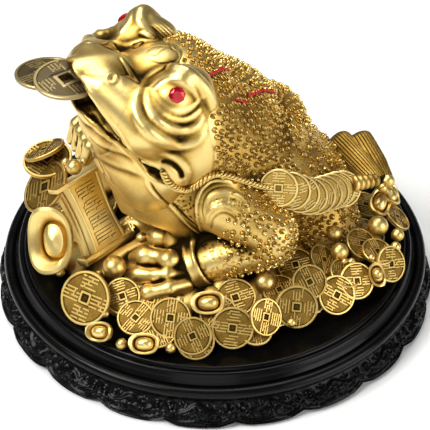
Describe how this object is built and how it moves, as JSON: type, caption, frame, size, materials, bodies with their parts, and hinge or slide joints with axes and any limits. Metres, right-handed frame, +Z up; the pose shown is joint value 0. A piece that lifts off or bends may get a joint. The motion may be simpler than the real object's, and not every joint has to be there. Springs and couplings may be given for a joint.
{
  "type": "money toad figure",
  "caption": "Gilt cast money toad seated on a round heap of coins, ingots and pearls, with loose coins in its mouth, on a carved black plinth.",
  "frame": {"origin": "centre of the plinth's underside", "axes": "+Z up; the toad faces -Y, and its left side is +X"},
  "size_m": [0.268, 0.268, 0.192],
  "materials": {
    "black_lacquer": "gloss black lacquer over turned and carved wood",
    "gilt_brass": "satin gilt with darkened hollows",
    "antique_bronze": "antiqued bronze, worn bright on the rims",
    "red_stone": "faceted and polished red stone"
  },
  "bodies": {
    "root": {"plinth": "black_lacquer", "toad_figure": "gilt_brass", "mouth_coin_lower": "antique_bronze", "mouth_coin_upper": "antique_bronze", "eye_gem_left": "red_stone", "eye_gem_right": "red_stone"}
  },
  "joints": []
}
